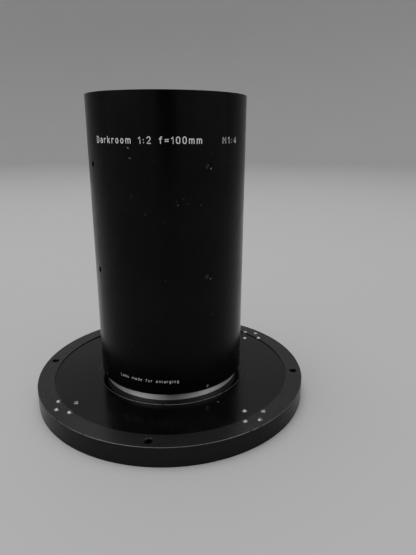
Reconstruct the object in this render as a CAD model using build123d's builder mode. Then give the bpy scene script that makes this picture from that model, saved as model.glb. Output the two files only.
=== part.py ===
from build123d import *
import math
import os

# Enlarger lens: a long straight barrel on a round mounting flange. Millimetres.
# +Z is the optical axis, pointing from the flange to the front glass, and the origin is the centre of
# the flange's underside. Azimuths are in degrees from +X, and the engraved side faces -Y.

os.makedirs("parts", exist_ok=True)

# ---- Driving dimensions ----

# Flange: a turned plate whose middle is sunk a little below its rim
plate_radius = 85.2
plate_thickness = 12.0
recess_radius = 75.0
recess_depth = 0.5
plate_chamfer = 0.2

# Four holes that bolt the flange to its machine
bolt_count = 4
bolt_circle_radius = 80.0
bolt_hole_radius = 2.15
bolt_countersink_radius = 2.5
bolt_azimuth = -99.2

# Pads let into the underside, halfway between the bolt holes, each held by four slotted screws
pad_count = 4
pad_azimuth = bolt_azimuth + 180.0 / pad_count
pad_middle_radius = 74.5
pad_length = 19.0
pad_width = 16.0
pad_height = 5.0
pad_corner = 3.0
pad_gap = 0.1
pad_screw_places = [(68.6, 0.0), (76.4, -5.4), (76.4, 5.4), (80.4, 0.0)]  # radius, turn from the pad's middle
pad_screw_radius = 0.8
pad_screw_head_radius = 1.6
pad_screw_head_height = 1.0
pad_screw_dome = 0.8
pad_screw_sink = 0.05
pad_screw_length = 9.0
pad_slot_width = 0.6
pad_slot_depth = 0.9
pad_slot_turn = 37.0  # each slot is turned this much further than the one before

# Small centre-punched mark on the sunk middle of the plate
punch_radius = 0.6
punch_place_radius = 52.5
punch_azimuth = -60.0

# Spigot: the bare neck that the barrel slides on. Its foot turns between the plate's lip and the collar.
spigot_radius = 42.4
spigot_bore = 38.6
spigot_top = 46.0
spigot_chamfer = 0.4
foot_radius = 45.0
foot_bottom = 2.5
foot_top = 5.5
lip_bore = 41.0
running_gap = 0.05

# Collar: a threaded ring in the plate that traps the spigot's foot
collar_flange_radius = 47.3
collar_body_radius = 45.5
collar_flange_bottom = 9.0
collar_top = 12.0
collar_chamfer = 0.25

# Barrel
barrel_radius = 45.0
barrel_bottom = 17.0
barrel_length = 163.4
barrel_top = barrel_bottom + barrel_length
barrel_chamfer = 0.15
barrel_bore = 40.05
lip_bottom = 52.0
lip_top = 58.0
barrel_lip_bore = 38.5
front_thread_radius = 41.5
front_groove_depth = 0.5
front_groove_pitch = 1.0
front_groove_width = 0.9
front_groove_count = 5

# Slotted set screws at three levels. The upper ones hold the front cell, the middle ones
# the rear cell, and the lower ones clamp the barrel to the spigot.
set_screw_count = 4
set_screw_azimuth = -62.8
upper_screw_height = 144.6
middle_screw_height = 85.9
lower_screw_height = 18.9
set_screw_radius = 1.45
lower_screw_radius = 0.8
set_hole_radius = 1.5
lower_hole_radius = 0.85
set_hole_break = 0.2
drill_overrun = 1.0
set_screw_face = 44.1
lower_screw_face = 44.8
set_slot_width = 0.5
set_slot_depth = 0.6
set_slot_turn = 35.0
slot_cutter_reach = 1.1  # a slot's cutter runs past the rim by this share of the radius
screw_groove_radius = 39.4
screw_groove_half = 2.2
tip_gap = 0.06

# Lens cells and the stop between them
cell_radius = 40.0
front_cell_top = 168.0
front_cell_bottom = 108.0
stop_bottom = 104.0
shim_thickness = 0.5
stop_opening = 19.5
stop_blade = 1.0
rear_cell_bottom = 8.0
nose_radius = 37.5

# Glass: name, height of the front vertex, front radius, thickness, back radius, rim radius.
# A positive surface radius bulges towards the front, a negative one towards the flange.
glass = {
    "front_lens": (168.0, 80.0, 9.0, 300.0, 33.0),
    "second_lens": (157.5, 60.0, 9.0, 150.0, 30.0),
    "front_doublet_crown": (147.0, 42.0, 12.5, -500.0, 27.0),
    "front_doublet_flint": (134.49, -500.0, 3.0, 28.0, 27.0),
    "rear_doublet_flint": (86.65, -27.0, 3.0, 500.0, 25.0),
    "rear_doublet_crown": (83.64, 500.0, 12.0, -40.0, 25.0),
    "seventh_lens": (70.2, 220.0, 10.0, -70.0, 27.0),
    "rear_lens": (24.0, -70.0, 6.0, -60.0, 31.0),
}
glass_gap = 0.05
seat_gap = 0.03
seat_width = 1.0
seat_relief = 1.0
flint_seat_width = 4.0
rear_flint_seat_width = 3.0

# Rings that hold the glass
ring_gap = 0.05
front_ring_thread = 35.0
front_ring_opening = 31.5
front_ring_height = 5.0
rear_ring_thread = 32.5
rear_ring_opening = 29.5
rear_ring_height = 5.5
spacer_wall = 1.5
retaining_ring_height = 5.0
retaining_ring_opening = 35.5
spanner_slot_width = 3.0
spanner_slot_depth = 2.0


# ---- Helpers ----

def section(*points):
    """Closed face in the XZ plane through (radius, height) points, for turning about the optical axis."""
    with BuildSketch(Plane.XZ) as face:
        with BuildLine():
            Polyline(*points, close=True)
        make_face()
    return face.sketch


def ring_section(inner, outer, bottom, top):
    """Rectangular section of a plain ring."""
    return section((inner, bottom), (outer, bottom), (outer, top), (inner, top))


def sag(surface_radius, height):
    """How far a glass surface falls from its vertex at a height from the axis, towards the flange."""
    rise = abs(surface_radius) - math.sqrt(surface_radius**2 - height**2)
    return math.copysign(rise, surface_radius)


def front_surface(name, height):
    """Z of an element's front surface at a height from the axis."""
    vertex, front, thickness, back, rim = glass[name]
    return vertex - sag(front, height)


def back_surface(name, height):
    """Z of an element's back surface at a height from the axis."""
    vertex, front, thickness, back, rim = glass[name]
    return vertex - thickness - sag(back, height)


def polar(radius, azimuth, height=0.0):
    """Point at a radius and azimuth from the optical axis."""
    angle = math.radians(azimuth)
    return (radius * math.cos(angle), radius * math.sin(angle), height)


def radial_planes(radius, height):
    """Planes facing outwards at the set screws' azimuths."""
    planes = []
    for turn in range(set_screw_count):
        azimuth = set_screw_azimuth + 360.0 / set_screw_count * turn
        outward = Vector(*polar(1.0, azimuth))
        planes.append(Plane(origin=polar(radius, azimuth, height), x_dir=(0, 0, 1), z_dir=outward))
    return planes


def save(builder, name):
    """Label a finished sub-part and write its STEP file."""
    builder.part.label = name
    export_step(builder.part, f"parts/{name}.step")


# ---- Flange ----

pad_screw_seats = []
for pad in range(pad_count):
    for place_radius, place_turn in pad_screw_places:
        surface = plate_thickness if place_radius > recess_radius else plate_thickness - recess_depth
        place_azimuth = pad_azimuth + 360.0 / pad_count * pad + place_turn
        pad_screw_seats.append(polar(place_radius, place_azimuth, surface))

with BuildPart() as flange_plate:
    recess_floor = plate_thickness - recess_depth
    revolve(
        section(
            (lip_bore, 0),
            (plate_radius - plate_chamfer, 0),
            (plate_radius, plate_chamfer),
            (plate_radius, plate_thickness - plate_chamfer),
            (plate_radius - plate_chamfer, plate_thickness),
            (recess_radius, plate_thickness),
            (recess_radius, recess_floor),
            (collar_flange_radius + running_gap, recess_floor),
            (collar_flange_radius + running_gap, collar_flange_bottom),
            (collar_body_radius + running_gap, collar_flange_bottom),
            (collar_body_radius + running_gap, foot_bottom),
            (lip_bore, foot_bottom),
        ),
        axis=Axis.Z,
    )
    # Through holes for the mounting bolts, broken at the top edge
    with PolarLocations(bolt_circle_radius, bolt_count, start_angle=bolt_azimuth):
        with Locations((0, 0, plate_thickness)):
            CounterSinkHole(bolt_hole_radius, bolt_countersink_radius)
    # Pockets for the pads
    with BuildSketch(Plane.XY):
        with PolarLocations(pad_middle_radius, pad_count, start_angle=pad_azimuth):
            RectangleRounded(pad_width + 2 * pad_gap, pad_length + 2 * pad_gap, pad_corner + pad_gap)
    extrude(amount=pad_height + pad_gap, mode=Mode.SUBTRACT)
    # Counterbored holes for the pads' screws
    with Locations(*pad_screw_seats):
        CounterBoreHole(
            pad_screw_radius + pad_gap,
            pad_screw_head_radius + pad_gap,
            pad_screw_head_height + pad_screw_sink,
            depth=plate_thickness,
        )
    # Punched mark
    with Locations(polar(punch_place_radius, punch_azimuth, recess_floor)):
        Cone(
            0,
            punch_radius,
            punch_radius,
            align=(Align.CENTER, Align.CENTER, Align.MAX),
            mode=Mode.SUBTRACT,
        )
save(flange_plate, "flange_plate")

with BuildPart() as locating_pads:
    with BuildSketch(Plane.XY):
        with PolarLocations(pad_middle_radius, pad_count, start_angle=pad_azimuth):
            RectangleRounded(pad_width, pad_length, pad_corner)
    extrude(amount=pad_height)
    with Locations(*pad_screw_seats):
        Hole(pad_screw_radius + tip_gap, depth=2 * plate_thickness)
save(locating_pads, "locating_pads")

# One screw, with the rim of its domed head at height 0
with BuildPart() as pad_screw:
    with BuildSketch(Plane.XZ):
        with BuildLine():
            dome = TangentArc((0, pad_screw_dome), (pad_screw_head_radius, 0), tangent=(1, 0))
            Polyline(
                dome @ 1,
                (pad_screw_head_radius, -pad_screw_head_height),
                (pad_screw_radius, -pad_screw_head_height),
                (pad_screw_radius, -pad_screw_length),
                (0, -pad_screw_length),
                dome @ 0,
            )
        make_face()
    revolve(axis=Axis.Z)
    with Locations((0, 0, pad_screw_dome)):
        Box(
            2 * slot_cutter_reach * pad_screw_head_radius,
            pad_slot_width,
            2 * pad_slot_depth,
            mode=Mode.SUBTRACT,
        )

with BuildPart() as pad_screws:
    for index, (seat_x, seat_y, seat_z) in enumerate(pad_screw_seats):
        with Locations(Location((seat_x, seat_y, seat_z - pad_screw_sink), (0, 0, pad_slot_turn * index))):
            add(pad_screw.part)
save(pad_screws, "pad_screws")

with BuildPart() as mounting_collar:
    revolve(
        section(
            (spigot_radius + running_gap, foot_top + running_gap),
            (collar_body_radius, foot_top + running_gap),
            (collar_body_radius, collar_flange_bottom),
            (collar_flange_radius, collar_flange_bottom),
            (collar_flange_radius, collar_top - collar_chamfer),
            (collar_flange_radius - collar_chamfer, collar_top),
            (spigot_radius + running_gap, collar_top),
        ),
        axis=Axis.Z,
    )
save(mounting_collar, "mounting_collar")


# ---- Spigot ----

with BuildPart() as spigot_ring:
    revolve(
        section(
            (spigot_bore, foot_bottom),
            (foot_radius, foot_bottom),
            (foot_radius, foot_top),
            (spigot_radius, foot_top),
            (spigot_radius, spigot_top - spigot_chamfer),
            (spigot_radius - spigot_chamfer, spigot_top),
            (spigot_bore, spigot_top),
        ),
        axis=Axis.Z,
    )
save(spigot_ring, "spigot_ring")


# ---- Barrel and its set screws ----

with BuildPart() as outer_barrel:
    sliding_bore = spigot_radius + running_gap
    revolve(
        section(
            (sliding_bore, barrel_bottom),
            (barrel_radius - barrel_chamfer, barrel_bottom),
            (barrel_radius, barrel_bottom + barrel_chamfer),
            (barrel_radius, barrel_top - barrel_chamfer),
            (barrel_radius - barrel_chamfer, barrel_top),
            (front_thread_radius, barrel_top),
            (front_thread_radius, front_cell_top),
            (barrel_bore, front_cell_top),
            (barrel_bore, lip_top),
            (barrel_lip_bore, lip_top),
            (barrel_lip_bore, lip_bottom),
            (sliding_bore, lip_bottom),
        ),
        axis=Axis.Z,
    )
    # Thread inside the front rim, drawn as plain grooves
    for turn in range(front_groove_count):
        groove_top = barrel_top - front_groove_pitch * (turn + 1)
        revolve(
            section(
                (front_thread_radius, groove_top),
                (front_thread_radius + front_groove_depth, groove_top - front_groove_width / 2),
                (front_thread_radius, groove_top - front_groove_width),
            ),
            axis=Axis.Z,
            mode=Mode.SUBTRACT,
        )
    # Threaded holes for the set screws, with a small break at the surface
    for hole_height in (upper_screw_height, middle_screw_height):
        with Locations(*radial_planes(barrel_radius, hole_height)):
            CounterSinkHole(
                set_hole_radius,
                set_hole_radius + set_hole_break,
                depth=barrel_radius - cell_radius + drill_overrun,
            )
    with Locations(*radial_planes(barrel_radius, lower_screw_height)):
        CounterSinkHole(
            lower_hole_radius,
            lower_hole_radius + set_hole_break,
            depth=barrel_radius - spigot_radius + drill_overrun,
        )
save(outer_barrel, "outer_barrel")


def save_set_screws(name, height, radius, face, tip):
    """Slotted set screws of one level, with cone points: outer face and tip are radii from the axis."""
    point_length = radius / 2
    with BuildPart() as screws:
        with Locations(*radial_planes(face, height)):
            Cylinder(
                radius,
                face - tip - point_length,
                align=(Align.CENTER, Align.CENTER, Align.MAX),
            )
        with Locations(*radial_planes(tip + point_length, height)):
            Cone(
                radius / 2,
                radius,
                point_length,
                align=(Align.CENTER, Align.CENTER, Align.MAX),
            )
        with Locations(*radial_planes(face, height)):
            Box(
                2 * slot_cutter_reach * radius,
                set_slot_width,
                2 * set_slot_depth,
                rotation=(0, 0, set_slot_turn),
                mode=Mode.SUBTRACT,
            )
    save(screws, name)


groove_tip = screw_groove_radius + tip_gap
spigot_tip = spigot_radius + tip_gap
save_set_screws("upper_set_screws", upper_screw_height, set_screw_radius, set_screw_face, groove_tip)
save_set_screws("middle_set_screws", middle_screw_height, set_screw_radius, set_screw_face, groove_tip)
save_set_screws("lower_set_screws", lower_screw_height, lower_screw_radius, lower_screw_face, spigot_tip)


# ---- Glass ----

def save_glass(name, front_land, back_land):
    """One lens element. A land is the width of the flat ring round a hollow surface, or 0 on a bulging one."""
    vertex, front, thickness, back, rim = glass[name]
    top = front_surface(name, rim - front_land) if front < 0 else vertex
    bottom = back_surface(name, rim - back_land) if back > 0 else vertex - thickness
    with BuildPart() as element:
        with Locations((0, 0, bottom)):
            Cylinder(rim, top - bottom, align=(Align.CENTER, Align.CENTER, Align.MIN))
        with Locations((0, 0, vertex - front)):
            Sphere(abs(front), mode=Mode.INTERSECT if front > 0 else Mode.SUBTRACT)
        with Locations((0, 0, vertex - thickness - back)):
            Sphere(abs(back), mode=Mode.INTERSECT if back < 0 else Mode.SUBTRACT)
    save(element, name)


save_glass("front_lens", 0, seat_width)
save_glass("second_lens", 0, seat_width)
save_glass("front_doublet_crown", 0, 0)
save_glass("front_doublet_flint", 0, flint_seat_width)
save_glass("rear_doublet_flint", rear_flint_seat_width, 0)
save_glass("rear_doublet_crown", 0, 0)
save_glass("seventh_lens", 0, 0)
save_glass("rear_lens", seat_width, 0)


# ---- Cells, stop and shim ----

front_seat = back_surface("front_lens", glass["front_lens"][4] - seat_width)
second_seat = back_surface("second_lens", glass["second_lens"][4] - seat_width)
flint_seat = back_surface("front_doublet_flint", glass["front_doublet_flint"][4] - flint_seat_width)
front_bore = glass["front_lens"][4] + glass_gap
second_bore = glass["second_lens"][4] + glass_gap
front_doublet_bore = glass["front_doublet_crown"][4] + glass_gap
front_throat = glass["front_doublet_flint"][4] - flint_seat_width + seat_relief
front_ring_bottom = front_surface("front_lens", front_ring_opening) + seat_gap

with BuildPart() as front_cell:
    revolve(
        section(
            (front_throat, front_cell_bottom),
            (cell_radius, front_cell_bottom),
            (cell_radius, upper_screw_height - screw_groove_half),
            (screw_groove_radius, upper_screw_height - screw_groove_half),
            (screw_groove_radius, upper_screw_height + screw_groove_half),
            (cell_radius, upper_screw_height + screw_groove_half),
            (cell_radius, front_cell_top),
            (front_ring_thread + ring_gap, front_cell_top),
            (front_ring_thread + ring_gap, front_ring_bottom - ring_gap),
            (front_bore, front_ring_bottom - ring_gap),
            (front_bore, front_seat),
            (second_bore, front_seat),
            (second_bore, second_seat),
            (front_doublet_bore, second_seat),
            (front_doublet_bore, flint_seat),
            (front_throat, flint_seat),
        ),
        axis=Axis.Z,
    )
save(front_cell, "front_cell")

rear_flint_seat = front_surface("rear_doublet_flint", glass["rear_doublet_flint"][4] - rear_flint_seat_width)
rear_doublet_bore = glass["rear_doublet_flint"][4] + glass_gap
seventh_bore = glass["seventh_lens"][4] + glass_gap
seventh_seat = front_surface("seventh_lens", rear_doublet_bore) + seat_gap
rear_seat = front_surface("rear_lens", glass["rear_lens"][4] - seat_width)
rear_bore = glass["rear_lens"][4] + glass_gap
rear_throat = glass["rear_doublet_flint"][4] - rear_flint_seat_width + seat_relief
rear_ring_top = back_surface("rear_lens", rear_ring_opening) - seat_gap

with BuildPart() as rear_cell:
    revolve(
        section(
            (rear_ring_thread + ring_gap, rear_cell_bottom),
            (nose_radius, rear_cell_bottom),
            (nose_radius, lip_top),
            (cell_radius, lip_top),
            (cell_radius, middle_screw_height - screw_groove_half),
            (screw_groove_radius, middle_screw_height - screw_groove_half),
            (screw_groove_radius, middle_screw_height + screw_groove_half),
            (cell_radius, middle_screw_height + screw_groove_half),
            (cell_radius, stop_bottom),
            (rear_throat, stop_bottom),
            (rear_throat, rear_flint_seat),
            (rear_doublet_bore, rear_flint_seat),
            (rear_doublet_bore, seventh_seat),
            (seventh_bore, seventh_seat),
            (seventh_bore, rear_seat),
            (rear_bore, rear_seat),
            (rear_bore, rear_ring_top + ring_gap),
            (rear_ring_thread + ring_gap, rear_ring_top + ring_gap),
        ),
        axis=Axis.Z,
    )
save(rear_cell, "rear_cell")

stop_top = front_cell_bottom - shim_thickness
with BuildPart() as aperture_stop:
    revolve(
        section(
            (stop_opening, stop_bottom),
            (cell_radius, stop_bottom),
            (cell_radius, stop_top),
            (front_throat, stop_top),
            (front_throat, stop_bottom + stop_blade),
            (stop_opening, stop_bottom + stop_blade),
        ),
        axis=Axis.Z,
    )
save(aperture_stop, "aperture_stop")

with BuildPart() as cell_shim:
    revolve(ring_section(front_throat, cell_radius, stop_top, front_cell_bottom), axis=Axis.Z)
save(cell_shim, "cell_shim")


# ---- Spacers between the glass ----

def save_spacer(name, outer, bottom, top):
    """Plain spacer ring between two elements."""
    with BuildPart() as spacer:
        revolve(ring_section(outer - spacer_wall, outer, bottom, top), axis=Axis.Z)
    save(spacer, name)


second_rim = glass["second_lens"][4]
doublet_rim = glass["front_doublet_crown"][4]
rear_doublet_rim = glass["rear_doublet_crown"][4]
seventh_rim = glass["seventh_lens"][4]

save_spacer(
    "front_spacer",
    second_rim,
    front_surface("second_lens", second_rim - spacer_wall) + seat_gap,
    back_surface("front_lens", second_rim) - seat_gap,
)
save_spacer(
    "doublet_spacer",
    doublet_rim,
    front_surface("front_doublet_crown", doublet_rim - spacer_wall) + seat_gap,
    back_surface("second_lens", doublet_rim) - seat_gap,
)
save_spacer(
    "rear_doublet_spacer",
    rear_doublet_rim,
    front_surface("seventh_lens", rear_doublet_rim - spacer_wall) + seat_gap,
    back_surface("rear_doublet_crown", rear_doublet_rim - spacer_wall) - seat_gap,
)
save_spacer(
    "rear_spacer",
    seventh_rim,
    front_surface("rear_lens", seventh_rim) + seat_gap,
    back_surface("seventh_lens", seventh_rim - spacer_wall) - seat_gap,
)


# ---- Threaded rings with two spanner slots each ----

def save_slotted_ring(name, opening, thread, bottom, top, slot_height):
    """Threaded ring, slotted across the face at slot_height."""
    with BuildPart() as threaded_ring:
        revolve(ring_section(opening, thread, bottom, top), axis=Axis.Z)
        with Locations((0, 0, slot_height)):
            Box(
                2 * slot_cutter_reach * thread,
                spanner_slot_width,
                2 * spanner_slot_depth,
                mode=Mode.SUBTRACT,
            )
    save(threaded_ring, name)


front_ring_top = front_ring_bottom + front_ring_height
rear_ring_bottom = rear_ring_top - rear_ring_height
retaining_ring_top = front_cell_top + retaining_ring_height
retaining_thread = front_thread_radius - ring_gap
save_slotted_ring(
    "front_lens_ring",
    front_ring_opening,
    front_ring_thread,
    front_ring_bottom,
    front_ring_top,
    front_ring_top,
)
save_slotted_ring(
    "rear_lens_ring",
    rear_ring_opening,
    rear_ring_thread,
    rear_ring_bottom,
    rear_ring_top,
    rear_ring_bottom,
)
save_slotted_ring(
    "front_retaining_ring",
    retaining_ring_opening,
    retaining_thread,
    front_cell_top,
    retaining_ring_top,
    retaining_ring_top,
)
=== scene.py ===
import math
import bpy
from mathutils import Matrix, Vector


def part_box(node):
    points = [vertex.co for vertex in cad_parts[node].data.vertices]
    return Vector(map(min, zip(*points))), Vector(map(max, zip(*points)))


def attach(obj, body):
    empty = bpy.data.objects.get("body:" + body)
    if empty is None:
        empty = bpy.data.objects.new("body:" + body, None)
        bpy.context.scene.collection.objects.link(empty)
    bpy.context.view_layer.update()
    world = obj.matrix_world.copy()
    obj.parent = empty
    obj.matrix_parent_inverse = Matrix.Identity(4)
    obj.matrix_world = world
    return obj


# Looks of the enlarger lens: black anodised barrel and flange, a bare turned neck, nickelled screws,
# coated glass and paint-filled engraving. Metres, +Z up, the engraved side faces -Y.

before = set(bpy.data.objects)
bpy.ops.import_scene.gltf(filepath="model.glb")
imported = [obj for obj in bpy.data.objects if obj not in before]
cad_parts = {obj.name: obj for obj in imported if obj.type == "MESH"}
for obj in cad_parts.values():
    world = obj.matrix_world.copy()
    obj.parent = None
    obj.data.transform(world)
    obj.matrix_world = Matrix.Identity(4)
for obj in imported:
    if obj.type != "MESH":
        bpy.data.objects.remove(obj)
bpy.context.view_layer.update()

MM = 0.001

# Places that the materials and the lettering need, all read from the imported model
plate_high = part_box("flange_plate")[1]
collar_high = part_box("mounting_collar")[1]
barrel_low, barrel_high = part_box("outer_barrel")
plate_radius = plate_high.x
plate_top = plate_high.z
collar_radius = collar_high.x
collar_top = collar_high.z
barrel_radius = barrel_high.x
barrel_bottom = barrel_low.z
barrel_top = barrel_high.z

plate_chamfer = 0.2 * MM
collar_chamfer = 0.25 * MM
barrel_chamfer = 0.15 * MM
recess_radius = 75 * MM


# ---- Shader helpers ----

class Graph:
    """A material's node tree, with short calls for the nodes that this scene uses."""

    def __init__(self, name):
        self.material = bpy.data.materials.new(name)
        self.material.use_nodes = True
        self.tree = self.material.node_tree
        self.tree.nodes.clear()
        self.out = self.tree.nodes.new("ShaderNodeOutputMaterial")
        self.shader = self.tree.nodes.new("ShaderNodeBsdfPrincipled")
        self.link(self.shader.outputs["BSDF"], self.out.inputs["Surface"])
        self.place = self.tree.nodes.new("ShaderNodeTexCoord").outputs["Object"]
        split = self.tree.nodes.new("ShaderNodeSeparateXYZ")
        self.link(self.place, split.inputs[0])
        self.x, self.y, self.z = split.outputs

    def link(self, source, target):
        self.tree.links.new(source, target)

    def set(self, **values):
        """Constant values, straight on the shader's sockets, whose spaces are underscores here."""
        for key, value in values.items():
            self.shader.inputs[key.replace("_", " ")].default_value = value

    def drive(self, socket, source):
        self.link(source, self.shader.inputs[socket])

    def math(self, operation, *values, clamp=False):
        node = self.tree.nodes.new("ShaderNodeMath")
        node.operation = operation
        node.use_clamp = clamp
        for index, value in enumerate(values):
            if isinstance(value, bpy.types.NodeSocket):
                self.link(value, node.inputs[index])
            else:
                node.inputs[index].default_value = value
        return node.outputs[0]

    def vector(self, x, y, z):
        node = self.tree.nodes.new("ShaderNodeCombineXYZ")
        for index, value in enumerate((x, y, z)):
            if isinstance(value, bpy.types.NodeSocket):
                self.link(value, node.inputs[index])
            else:
                node.inputs[index].default_value = value
        return node.outputs[0]

    def noise(self, place, scale, detail=3.0, roughness=0.5):
        node = self.tree.nodes.new("ShaderNodeTexNoise")
        self.link(place, node.inputs["Vector"])
        node.inputs["Scale"].default_value = scale
        node.inputs["Detail"].default_value = detail
        node.inputs["Roughness"].default_value = roughness
        return node.outputs["Fac"]

    def ramp(self, value, low, high, out_low=0.0, out_high=1.0):
        """Smooth step of a value from low to high."""
        node = self.tree.nodes.new("ShaderNodeMapRange")
        node.interpolation_type = "SMOOTHSTEP"
        self.link(value, node.inputs["Value"])
        node.inputs["From Min"].default_value = low
        node.inputs["From Max"].default_value = high
        node.inputs["To Min"].default_value = out_low
        node.inputs["To Max"].default_value = out_high
        return node.outputs["Result"]

    def mix(self, amount, first, second):
        """Blend of two colours by an amount."""
        node = self.tree.nodes.new("ShaderNodeMix")
        node.data_type = "RGBA"
        for key, value in (("Factor", amount), ("A", first), ("B", second)):
            socket = [s for s in node.inputs if s.name == key and s.enabled][0]
            if isinstance(value, bpy.types.NodeSocket):
                self.link(value, socket)
            elif key == "Factor":
                socket.default_value = value
            else:
                socket.default_value = (*value, 1.0)
        return [s for s in node.outputs if s.enabled][0]

    def bump(self, height, strength, distance):
        node = self.tree.nodes.new("ShaderNodeBump")
        node.inputs["Strength"].default_value = strength
        node.inputs["Distance"].default_value = distance
        self.link(height, node.inputs["Height"])
        return node.outputs["Normal"]

    def radius(self):
        """Distance from the optical axis."""
        across = self.math("MULTIPLY", self.x, self.x)
        along = self.math("MULTIPLY", self.y, self.y)
        return self.math("SQRT", self.math("ADD", across, along))

    def azimuth(self):
        return self.math("ARCTAN2", self.y, self.x)

    def turned(self, pitch, drift):
        """Noise drawn out round the axis, as a lathe tool leaves it: fine across, slow along the cut."""
        across = 1.0 / pitch
        place = self.vector(
            self.math("MULTIPLY", self.radius(), across),
            self.math("MULTIPLY", self.z, across),
            self.math("MULTIPLY", self.azimuth(), drift),
        )
        return self.noise(place, 1.0, detail=2.0)

    def radial_tangent(self):
        node = self.tree.nodes.new("ShaderNodeTangent")
        node.direction_type = "RADIAL"
        node.axis = "Z"
        self.link(node.outputs["Tangent"], self.shader.inputs["Tangent"])


def dust(graph, cell, speck, share):
    """Sparse tiny specks: one in a share of the cells has a speck of about that radius."""
    node = graph.tree.nodes.new("ShaderNodeTexVoronoi")
    node.inputs["Scale"].default_value = 1.0 / cell
    graph.link(graph.place, node.inputs["Vector"])
    tint = graph.tree.nodes.new("ShaderNodeSeparateColor")
    graph.link(node.outputs["Color"], tint.inputs[0])
    chosen = graph.math("LESS_THAN", tint.outputs[0], share)
    size = graph.math("MULTIPLY", tint.outputs[1], speck / cell)
    inside = graph.math("LESS_THAN", node.outputs["Distance"], size)
    return graph.math("MULTIPLY", chosen, inside)


def worn_and_highlit_edge(graph, slope, level, spread, cover):
    """Mask of a chamfer where radius plus or minus height reaches a level, broken up by noise.

    The mask is on where the noise passes cover, and needs more noise further from the chamfer.
    It lightens worn edges and, on the plate and collar, also paints part of the highlight that a chamfer
    catches.
    """
    signed = graph.math("MULTIPLY", graph.z, slope)
    across = graph.math("SUBTRACT", graph.math("ADD", graph.radius(), signed), level)
    near = graph.math("DIVIDE", across, spread)
    patch = graph.noise(graph.place, 260.0, detail=4.0, roughness=0.65)
    return graph.ramp(graph.math("ADD", near, patch), cover - 0.02, cover + 0.02)


# ---- Materials ----

def black_anodised(name, colour, specular, shine, edge_wear_and_highlight=(), worn_and_highlight_tone=0.3, scuffs=(), plate=None):
    """Black anodised aluminium with turning marks, hand marks, dust and lighter edges, worn and on the
    plate and collar partly a painted highlight.

    shine is the lowest and highest roughness. The edge list gives the chamfers for the edge mask, which get
    a lighter
    metallic tone: wear, and on the plate and collar partly a painted highlight. scuffs lists small marks,
    which lie on the barrel or, on the plate, on its face. plate is the tone and roughness added outside the
    plate's sunk disc, and the specular level of its duller side.
    """
    graph = Graph(name)
    graph.set(IOR=1.5, Specular_IOR_Level=specular, Anisotropic=0.35, Anisotropic_Rotation=0.25)
    graph.radial_tangent()
    smudge = graph.noise(graph.place, 28.0, detail=5.0, roughness=0.6)
    streak = graph.turned(0.35 * MM, 3.0)
    tone = graph.mix(graph.ramp(smudge, 0.4, 0.75), colour, tuple(1.8 * c for c in colour))
    rough = graph.ramp(smudge, 0.35, 0.7, *shine)
    rough = graph.math("ADD", rough, graph.math("MULTIPLY", streak, 0.05))
    if plate:
        outside = graph.ramp(graph.radius(), recess_radius - 0.05 * MM, recess_radius + 0.05 * MM)
        tone = graph.mix(outside, tone, plate[0])
        rough = graph.math("ADD", rough, graph.math("MULTIPLY", outside, plate[1]))
        side = (plate_radius - 1.5 * plate_chamfer, plate_radius - 0.5 * plate_chamfer)
        graph.drive("Specular IOR Level", graph.ramp(graph.radius(), *side, specular, plate[2]))
    specks = dust(graph, 3.2 * MM, 0.22 * MM, 0.22)
    tone = graph.mix(graph.math("MULTIPLY", specks, 0.5), tone, (0.32, 0.32, 0.33))
    for azimuth, level, half_length, half_width, tilt, strength in scuffs:
        mark = scuff(graph, azimuth, level, half_length, half_width, tilt, plate is not None)
        tone = graph.mix(graph.math("MULTIPLY", mark, strength), tone, (0.42, 0.42, 0.43))
    metal = 0.0
    # Lighter metallic chamfers: wear, and on the plate and collar partly a painted highlight along the
    # chamfer
    for slope, level, spread, cover in edge_wear_and_highlight:
        worn_and_highlit = worn_and_highlit_edge(graph, slope, level, spread, cover)
        tone = graph.mix(worn_and_highlit, tone, (worn_and_highlight_tone, worn_and_highlight_tone, 0.95 * worn_and_highlight_tone))
        metal = graph.math("MAXIMUM", worn_and_highlit, metal)
        rough = graph.math("ADD", rough, graph.math("MULTIPLY", worn_and_highlit, 0.12))
    graph.drive("Base Color", tone)
    graph.drive("Roughness", rough)
    if edge_wear_and_highlight:
        graph.drive("Metallic", metal)
    graph.drive("Normal", graph.bump(streak, 0.12, 0.02 * MM))
    return graph.material


def scuff(graph, azimuth, level, half_length, half_width, tilt, flat):
    """Mask of one small elliptical mark, tilted by degrees, with a ragged edge.

    Its level is a height on the barrel or, when flat, a radius on the plate's face.
    """
    around = graph.math("SUBTRACT", graph.azimuth(), math.radians(azimuth))
    along = graph.math("MULTIPLY", around, level if flat else barrel_radius)
    up = graph.math("SUBTRACT", graph.radius() if flat else graph.z, level)
    cosine = math.cos(math.radians(tilt))
    sine = math.sin(math.radians(tilt))
    first = graph.math("ADD", graph.math("MULTIPLY", along, cosine), graph.math("MULTIPLY", up, sine))
    second = graph.math("SUBTRACT", graph.math("MULTIPLY", up, cosine), graph.math("MULTIPLY", along, sine))
    first = graph.math("DIVIDE", first, half_length)
    second = graph.math("DIVIDE", second, half_width)
    first = graph.math("MULTIPLY", first, first)
    second = graph.math("MULTIPLY", second, second)
    distance = graph.math("ADD", first, second)
    ragged = graph.math("MULTIPLY", graph.noise(graph.place, 4200.0), 1.3)
    return graph.ramp(graph.math("ADD", distance, ragged), 1.5, 0.6)


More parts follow.
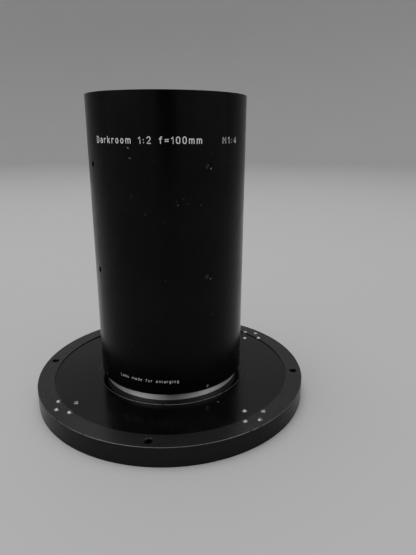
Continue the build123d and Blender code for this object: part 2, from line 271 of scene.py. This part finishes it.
def turned_metal(name, colour, roughness, anisotropy, pitch, depth):
    """Bare metal with lathe marks."""
    graph = Graph(name)
    graph.set(Metallic=1.0, Anisotropic=anisotropy, Anisotropic_Rotation=0.25)
    graph.radial_tangent()
    streak = graph.turned(pitch, 2.0)
    stain = graph.noise(graph.place, 60.0, detail=4.0)
    tone = graph.mix(graph.ramp(streak, 0.3, 0.7), tuple(0.72 * c for c in colour), colour)
    tone = graph.mix(graph.ramp(stain, 0.45, 0.8, 0.0, 0.5), tone, tuple(0.55 * c for c in colour))
    graph.drive("Base Color", tone)
    graph.drive("Roughness", graph.ramp(stain, 0.3, 0.8, roughness, roughness + 0.12))
    graph.drive("Normal", graph.bump(streak, 0.35, depth))
    return graph.material


def screw_metal(name, colour, roughness, grime):
    """Plated or blackened screw metal, with dirt in patches."""
    graph = Graph(name)
    graph.set(Metallic=1.0)
    patch = graph.noise(graph.place, 900.0, detail=3.0)
    scratch = graph.noise(graph.place, 5200.0, detail=2.0)
    graph.drive("Base Color", graph.mix(graph.ramp(patch, 0.5, 0.75), colour, grime))
    graph.drive("Roughness", graph.ramp(patch, 0.35, 0.7, roughness, roughness + 0.25))
    graph.drive("Normal", graph.bump(scratch, 0.15, 0.02 * MM))
    return graph.material


def ground_steel(name):
    """Ground steel: fine scratches one way, a little rust-brown staining."""
    graph = Graph(name)
    graph.set(Metallic=1.0)
    along = graph.vector(
        graph.math("MULTIPLY", graph.x, 90.0),
        graph.math("MULTIPLY", graph.y, 5000.0),
        graph.math("MULTIPLY", graph.z, 5000.0),
    )
    grain = graph.noise(along, 1.0, detail=2.0)
    stain = graph.noise(graph.place, 150.0, detail=4.0)
    tone = graph.mix(graph.ramp(stain, 0.5, 0.8), (0.46, 0.46, 0.47), (0.30, 0.27, 0.24))
    graph.drive("Base Color", tone)
    graph.drive("Roughness", graph.ramp(grain, 0.3, 0.7, 0.24, 0.42))
    graph.drive("Normal", graph.bump(grain, 0.2, 0.02 * MM))
    return graph.material


def matt_black(name):
    """Matt black of the surfaces round the light path, with fine baffle-like turning marks."""
    graph = Graph(name)
    graph.set(Specular_IOR_Level=0.25)
    streak = graph.turned(0.5 * MM, 1.5)
    cloud = graph.noise(graph.place, 70.0)
    graph.drive("Base Color", graph.mix(cloud, (0.006, 0.006, 0.007), (0.014, 0.014, 0.015)))
    graph.drive("Roughness", graph.ramp(cloud, 0.3, 0.7, 0.55, 0.75))
    graph.drive("Normal", graph.bump(streak, 0.5, 0.06 * MM))
    return graph.material


def coated_glass(name, tint, index, film):
    """Optical glass with an anti-reflection film, which dims its reflections and gives them a colour."""
    graph = Graph(name)
    graph.set(
        Base_Color=(*tint, 1.0),
        Transmission_Weight=1.0,
        IOR=index,
        Thin_Film_Thickness=film,
        Thin_Film_IOR=1.38,
    )
    haze = graph.noise(graph.place, 45.0, detail=4.0)
    graph.drive("Roughness", graph.ramp(haze, 0.45, 0.85, 0.0, 0.03))
    return graph.material


def engraving_paint(name):
    """White paint run into the engraving: a little yellowed, chipped and uneven."""
    graph = Graph(name)
    patch = graph.noise(graph.place, 1500.0, detail=3.0)
    chipped = graph.ramp(patch, 0.45, 0.8)
    graph.drive("Base Color", graph.mix(chipped, (0.78, 0.77, 0.74), (0.45, 0.44, 0.42)))
    graph.drive("Roughness", graph.ramp(patch, 0.3, 0.7, 0.5, 0.7))
    graph.drive("Normal", graph.bump(patch, 0.3, 0.03 * MM))
    return graph.material


def pale_paper(name, colour):
    """Seamless studio paper for the floor and the backdrop."""
    graph = Graph(name)
    graph.set(Specular_IOR_Level=0.2)
    cloud = graph.noise(graph.place, 3.0)
    grain = graph.noise(graph.place, 900.0)
    darker = tuple(0.96 * c for c in colour)
    graph.drive("Base Color", graph.mix(cloud, darker, colour))
    graph.drive("Roughness", graph.ramp(cloud, 0.3, 0.7, 0.75, 0.85))
    graph.drive("Normal", graph.bump(grain, 0.1, 0.05 * MM))
    return graph.material


# Lighter chamfers, worn on the barrel, worn and partly a painted highlight on the plate and collar: slope,
# radius plus or minus height on the chamfer, how fast the lighter tone fades beside it, cover
plate_wear_and_highlight = [(1.0, plate_radius + plate_top - plate_chamfer, 0.5 * MM, 0.36)]
collar_wear_and_highlight = [(1.0, collar_radius + collar_top - collar_chamfer, 0.5 * MM, 0.40)]
barrel_wear = [
    (1.0, barrel_radius + barrel_top - barrel_chamfer, 0.5 * MM, 0.68),
    (-1.0, barrel_radius - barrel_bottom - barrel_chamfer, 0.5 * MM, 0.66),
]
# Azimuth in degrees, level, half length and half width in metres, tilt in degrees, strength
barrel_scuffs = [
    (-61.0, 143.5 * MM, 1.0 * MM, 0.40 * MM, 45.0, 0.45),
    (-61.0, 84.8 * MM, 1.0 * MM, 0.40 * MM, 45.0, 0.40),
    (-115.8, 153.6 * MM, 1.1 * MM, 0.45 * MM, -20.0, 0.50),
    (-114.8, 148.7 * MM, 1.0 * MM, 0.38 * MM, -10.0, 0.36),
    (-84.1, 125.8 * MM, 0.8 * MM, 0.35 * MM, 60.0, 0.22),
    (-80.4, 128.6 * MM, 0.6 * MM, 0.30 * MM, 20.0, 0.18),
    (-77.2, 126.4 * MM, 0.6 * MM, 0.30 * MM, -30.0, 0.16),
    (-98.4, 147.6 * MM, 0.7 * MM, 0.35 * MM, 70.0, 0.05),
    (-105.7, 121.0 * MM, 0.5 * MM, 1.2 * MM, 0.0, 0.07),
    (-93.0, 117.4 * MM, 0.5 * MM, 0.9 * MM, 0.0, 0.06),
    (-115.0, 129.6 * MM, 0.5 * MM, 1.3 * MM, 0.0, 0.06),
    (96.0, 120.0 * MM, 0.3 * MM, 3.0 * MM, 12.0, 0.12),
    (60.0, 60.0 * MM, 1.1 * MM, 0.4 * MM, 35.0, 0.25),
    (140.0, 95.0 * MM, 0.9 * MM, 0.35 * MM, -40.0, 0.25),
]

plate_scuffs = [
    (-60.0, 52.5 * MM, 0.75 * MM, 0.5 * MM, 30.0, 0.75),
]

barrel_black = black_anodised(
    "barrel_black",
    (0.0024, 0.0024, 0.0030),
    0.12,
    (0.20, 0.30),
    edge_wear_and_highlight=barrel_wear,
    worn_and_highlight_tone=0.12,
    scuffs=barrel_scuffs,
)
plate_black = black_anodised(
    "plate_black",
    (0.0030, 0.0030, 0.0036),
    0.58,
    (0.15, 0.21),
    edge_wear_and_highlight=plate_wear_and_highlight,
    worn_and_highlight_tone=0.16,
    scuffs=plate_scuffs,
    plate=((0.016, 0.016, 0.017), 0.06, 0.08),
)
collar_black = black_anodised(
    "collar_black",
    (0.0030, 0.0030, 0.0036),
    0.55,
    (0.12, 0.18),
    edge_wear_and_highlight=collar_wear_and_highlight,
    worn_and_highlight_tone=0.13,
)
ring_black = black_anodised("ring_black", (0.008, 0.008, 0.009), 0.45, (0.28, 0.38))
inner_black = matt_black("inner_black")
neck_metal = turned_metal("neck_metal", (0.84, 0.83, 0.81), 0.50, 0.90, 0.22 * MM, 0.05 * MM)
shim_steel = turned_metal("shim_steel", (0.55, 0.55, 0.56), 0.25, 0.4, 0.5 * MM, 0.01 * MM)
nickel = screw_metal("nickel", (0.45, 0.42, 0.39), 0.30, (0.18, 0.15, 0.12))
bright_nickel = screw_metal("bright_nickel", (0.80, 0.77, 0.73), 0.25, (0.40, 0.36, 0.32))
blackened = screw_metal("blackened", (0.055, 0.052, 0.050), 0.30, (0.12, 0.10, 0.09))
pad_steel = ground_steel("pad_steel")
front_glass = coated_glass("front_glass", (0.97, 0.99, 0.98), 1.6, 105.0)
inner_glass = coated_glass("inner_glass", (0.80, 0.81, 0.79), 1.5, 98.0)

finishes = {
    "flange_plate": plate_black,
    "mounting_collar": collar_black,
    "locating_pads": pad_steel,
    "pad_screws": nickel,
    "spigot_ring": neck_metal,
    "outer_barrel": barrel_black,
    "upper_set_screws": blackened,
    "middle_set_screws": blackened,
    "lower_set_screws": bright_nickel,
    "front_retaining_ring": ring_black,
    "front_lens_ring": ring_black,
    "rear_lens_ring": ring_black,
    "front_cell": inner_black,
    "rear_cell": inner_black,
    "aperture_stop": inner_black,
    "front_spacer": inner_black,
    "doublet_spacer": inner_black,
    "rear_doublet_spacer": inner_black,
    "rear_spacer": inner_black,
    "cell_shim": shim_steel,
    "front_lens": front_glass,
    "second_lens": inner_glass,
    "front_doublet_crown": inner_glass,
    "front_doublet_flint": inner_glass,
    "rear_doublet_flint": inner_glass,
    "rear_doublet_crown": inner_glass,
    "seventh_lens": inner_glass,
    "rear_lens": front_glass,
}
for node_name, finish in finishes.items():
    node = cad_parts[node_name]
    node.data.materials.clear()
    node.data.materials.append(finish)


# ---- Lettering: a single-stroke engraver's alphabet ----
# Coordinates are shares of the capital height: the baseline is 0, capitals reach 1.

X_HEIGHT = 0.70


def arc(x, y, width, height, start, stop):
    """Points on an ellipse from one angle to another, in degrees."""
    steps = max(4, round(abs(stop - start) / 15))
    angles = [math.radians(start + (stop - start) * i / steps) for i in range(steps + 1)]
    return [(x + width * math.cos(a), y + height * math.sin(a)) for a in angles]


def dot(x, y):
    return [(x, y - 0.012), (x, y + 0.012)]


def arch(x, width):
    """Shoulder of an n, h or m, with the leg that follows it."""
    return arc(x + width / 2, X_HEIGHT - 0.22, width / 2, 0.22, 180, 0) + [(x + width, 0)]


bowl = arc(0.24, X_HEIGHT / 2, 0.24, X_HEIGHT / 2, 0, 360)

# Each sign: its width, then its strokes
alphabet = {
    " ": (0.42, []),
    "1": (0.26, [[(0, 0.74), (0.24, 1), (0.24, 0)]]),
    ":": (0.10, [dot(0.05, 0.12), dot(0.05, 0.58)]),
    "2": (0.56, [arc(0.28, 0.72, 0.27, 0.28, 165, -32) + [(0, 0), (0.56, 0)]]),
    "4": (0.62, [[(0.46, 0), (0.46, 1), (0, 0.28), (0.62, 0.28)]]),
    "0": (0.54, [arc(0.27, 0.70, 0.27, 0.30, 0, 180) + arc(0.27, 0.30, 0.27, 0.30, 180, 360)
                 + [(0.54, 0.70)]]),
    "=": (0.52, [[(0, 0.60), (0.52, 0.60)], [(0, 0.32), (0.52, 0.32)]]),
    "D": (0.58, [[(0, 0), (0, 1), (0.22, 1)] + arc(0.22, 0.5, 0.36, 0.5, 90, -90) + [(0, 0)]]),
    "L": (0.46, [[(0, 1), (0, 0), (0.46, 0)]]),
    "M": (0.68, [[(0, 0), (0, 1), (0.34, 0.42), (0.68, 1), (0.68, 0)]]),
    "a": (0.48, [arc(0.24, X_HEIGHT - 0.22, 0.24, 0.22, 140, 0) + [(0.48, 0)],
                 [(0.48, 0.40), (0.20, 0.40)] + arc(0.20, 0.20, 0.20, 0.20, 90, 270)
                 + [(0.30, 0), (0.48, 0.12)]]),
    "d": (0.48, [bowl, [(0.48, 0), (0.48, 1)]]),
    "e": (0.48, [[(0.02, 0.36), (0.48, 0.36)] + arc(0.24, X_HEIGHT / 2, 0.24, X_HEIGHT / 2, 5, 315)]),
    "f": (0.38, [arc(0.34, 0.80, 0.18, 0.20, 70, 180) + [(0.16, 0)], [(0, X_HEIGHT), (0.36, X_HEIGHT)]]),
    "g": (0.48, [bowl, [(0.48, X_HEIGHT), (0.48, -0.08)] + arc(0.25, -0.08, 0.23, 0.20, 0, -140)]),
    "i": (0.06, [[(0.03, 0), (0.03, X_HEIGHT)], dot(0.03, 0.94)]),
    "k": (0.46, [[(0, 0), (0, 1)], [(0.42, X_HEIGHT), (0, 0.26)], [(0.16, 0.42), (0.46, 0)]]),
    "l": (0.14, [[(0.02, 1), (0.02, 0.12)] + arc(0.14, 0.12, 0.12, 0.12, 180, 270)]),
    "m": (0.80, [[(0, 0), (0, X_HEIGHT)], arch(0, 0.40), arch(0.40, 0.40)]),
    "n": (0.46, [[(0, 0), (0, X_HEIGHT)], arch(0, 0.46)]),
    "o": (0.48, [bowl]),
    "r": (0.32, [[(0, 0), (0, X_HEIGHT)], arc(0.24, X_HEIGHT - 0.24, 0.24, 0.24, 180, 60)]),
    "s": (0.42, [arc(0.21, 0.525, 0.20, 0.175, 35, 262) + arc(0.21, 0.175, 0.21, 0.175, 82, -145)]),
}


def engrave(name, text, first_azimuth, last_azimuth, baseline, capital, stroke, sink):
    """One line of painted engraving round the barrel, spaced to fill the arc between two azimuths."""
    curve = bpy.data.curves.new(name, "CURVE")
    curve.dimensions = "3D"
    curve.bevel_depth = stroke
    curve.bevel_resolution = 3
    depth = barrel_radius - sink
    span = math.radians(last_azimuth - first_azimuth) * barrel_radius / capital
    widths = sum(alphabet[sign][0] for sign in text)
    gap = (span - widths) / (len(text) - 1)
    cursor = 0.0
    for sign in text:
        width, strokes = alphabet[sign]
        for points in strokes:
            add_stroke(curve, points, cursor, math.radians(first_azimuth), baseline, capital, depth, stroke)
        cursor += width + gap
    piece = bpy.data.objects.new(name, curve)
    bpy.context.scene.collection.objects.link(piece)
    curve.materials.append(paint)
    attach(piece, "barrel")


def add_stroke(curve, points, cursor, start, baseline, capital, depth, stroke):
    """One stroke wrapped on the barrel, its ends rounded by radii that fall to nothing."""
    flat = [Vector((capital * (cursor + x), capital * y)) for x, y in points]
    first = (flat[0] - flat[1]).normalized()
    last = (flat[-1] - flat[-2]).normalized()
    turns = [(0.55, 0.835), (0.85, 0.527), (0.98, 0.2)]
    path = [(flat[0] + first * stroke * reach, size) for reach, size in reversed(turns)]
    path += [(point, 1.0) for point in flat]
    path += [(flat[-1] + last * stroke * reach, size) for reach, size in turns]
    spline = curve.splines.new("POLY")
    spline.points.add(len(path) - 1)
    for target, (place, size) in zip(spline.points, path):
        azimuth = start + place.x / barrel_radius
        target.co = (depth * math.cos(azimuth), depth * math.sin(azimuth), baseline + place.y, 1.0)
        target.radius = size


paint = engraving_paint("engraving_white")
large = (3.05 * MM, 0.36 * MM, 0.265 * MM)
small = (1.7 * MM, 0.16 * MM, 0.115 * MM)
engrave("engraving_focal_length", "Darkroom 1:2 f=100mm", -143.2, -68.0, 155.85 * MM, *large)
engrave("engraving_scale", "M1:4", -51.2, -37.2, 155.85 * MM, *large)
engrave("engraving_purpose", "Lens made for enlarging", -131.6, -85.6, 24.65 * MM, *small)


# ---- Stage ----

def build_backdrop():
    """Pale paper all round: a floor that sweeps up into a wall.

    The front of the wall, behind the camera's usual place, shows in pictures from behind the object but
    is left out of reflections, so that the room's lights reach the object past it.
    """
    floor_radius = 2.4
    sweep = 0.9
    wall_top = 3.2
    steps = 12
    sides = 96
    paper = pale_paper("paper", (0.57, 0.57, 0.575))
    profile = [(0.0, 0.0), (0.6, 0.0), (1.2, 0.0), (floor_radius, 0.0)]
    for step in range(1, steps + 1):
        angle = math.radians(90.0 * step / steps)
        profile.append((floor_radius + sweep * math.sin(angle), sweep * (1 - math.cos(angle))))
    profile.append((floor_radius + sweep, wall_top))
    vertices = []
    for side in range(sides):
        azimuth = math.tau * side / sides
        for reach, height in profile:
            vertices.append((reach * math.cos(azimuth), reach * math.sin(azimuth), height))
    whole = []
    front = []
    for side in range(sides):
        here = side * len(profile)
        there = (side + 1) % sides * len(profile)
        for index in range(len(profile) - 1):
            face = (here + index, here + index + 1, there + index + 1, there + index)
            is_front = side >= sides / 2 and profile[index][0] >= floor_radius
            (front if is_front else whole).append(face)
    for name, faces in (("backdrop", whole), ("front_screen", front)):
        mesh = bpy.data.meshes.new(name)
        mesh.from_pydata(vertices, [], faces)
        mesh.validate()
        mesh.materials.append(paper)
        mesh.shade_smooth()
        screen = bpy.data.objects.new(name, mesh)
        bpy.context.scene.collection.objects.link(screen)
        if name == "front_screen":
            screen.visible_diffuse = False
            screen.visible_glossy = False
            screen.visible_transmission = False
            screen.visible_shadow = False


def add_softbox(name, place, target, width, height, power):
    """Rectangular area light at a place, aimed at a target."""
    lamp = bpy.data.lights.new(name, "AREA")
    lamp.shape = "RECTANGLE"
    lamp.size = width
    lamp.size_y = height
    lamp.energy = power
    holder = bpy.data.objects.new(name, lamp)
    holder.location = place
    aim = Vector(target) - Vector(place)
    holder.rotation_euler = aim.to_track_quat("-Z", "Y").to_euler()
    bpy.context.scene.collection.objects.link(holder)


def build_world():
    """Soft surroundings: pale above and behind, dimmer to the front, with a dark gap straight ahead."""
    world = bpy.data.worlds.new("studio")
    bpy.context.scene.world = world
    world.use_nodes = True
    tree = world.node_tree
    tree.nodes.clear()
    out = tree.nodes.new("ShaderNodeOutputWorld")
    light = tree.nodes.new("ShaderNodeBackground")
    place = tree.nodes.new("ShaderNodeTexCoord")
    split = tree.nodes.new("ShaderNodeSeparateXYZ")
    tree.links.new(place.outputs["Generated"], split.inputs[0])
    aside = tree.nodes.new("ShaderNodeMath")
    aside.operation = "ABSOLUTE"
    tree.links.new(split.outputs["X"], aside.inputs[0])

    def blend(source, low, high, first, second):
        """Blend of two greys or sockets while a direction's coordinate goes from low to high."""
        step = tree.nodes.new("ShaderNodeMapRange")
        step.interpolation_type = "SMOOTHSTEP"
        step.inputs["From Min"].default_value = low
        step.inputs["From Max"].default_value = high
        tree.links.new(source, step.inputs["Value"])
        node = tree.nodes.new("ShaderNodeMix")
        tree.links.new(step.outputs["Result"], node.inputs["Factor"])
        for socket, value in ((node.inputs["A"], first), (node.inputs["B"], second)):
            if isinstance(value, float):
                socket.default_value = value
            else:
                tree.links.new(value, socket)
        return node.outputs["Result"]

    front = blend(aside.outputs[0], 0.14, 0.28, 0.02, 0.70)
    low = blend(split.outputs["Y"], -0.15, 0.75, front, 0.75)
    whole = blend(split.outputs["Z"], 0.55, 0.85, low, 0.95)
    tree.links.new(whole, light.inputs["Color"])
    light.inputs["Strength"].default_value = 0.8
    tree.links.new(light.outputs["Background"], out.inputs["Surface"])


build_backdrop()
build_world()
centre = (0.0, 0.0, 0.08)
add_softbox("top_softbox", (-0.25, 0.35, 1.5), centre, 1.6, 1.2, 14.0)
add_softbox("front_left_softbox", (-1.25, -0.95, 0.75), centre, 1.0, 0.6, 2.0)
add_softbox("front_right_softbox", (1.3, -0.8, 0.75), centre, 1.0, 0.6, 1.5)


# ---- Camera ----

def build_camera():
    """Camera a little above the middle of the barrel, looking down and slightly to its right."""
    yaw = math.radians(4.86)
    pitch = math.radians(17.42)
    roll = math.radians(0.26)
    forward = Vector((
        math.sin(yaw) * math.cos(pitch),
        math.cos(yaw) * math.cos(pitch),
        -math.sin(pitch),
    ))
    level_right = forward.cross(Vector((0, 0, 1))).normalized()
    level_up = level_right.cross(forward)
    right = level_right * math.cos(roll) + level_up * math.sin(roll)
    up = level_up * math.cos(roll) - level_right * math.sin(roll)
    lens = bpy.data.cameras.new("camera")
    lens.lens = 30.12
    lens.sensor_width = 36.0
    lens.sensor_fit = "AUTO"
    lens.clip_start = 0.01
    camera = bpy.data.objects.new("camera", lens)
    camera.matrix_world = Matrix((
        (right.x, up.x, -forward.x, 0.0),
        (right.y, up.y, -forward.y, -0.28035),
        (right.z, up.z, -forward.z, 0.16136),
        (0.0, 0.0, 0.0, 1.0),
    ))
    bpy.context.scene.collection.objects.link(camera)
    bpy.context.scene.camera = camera


build_camera()
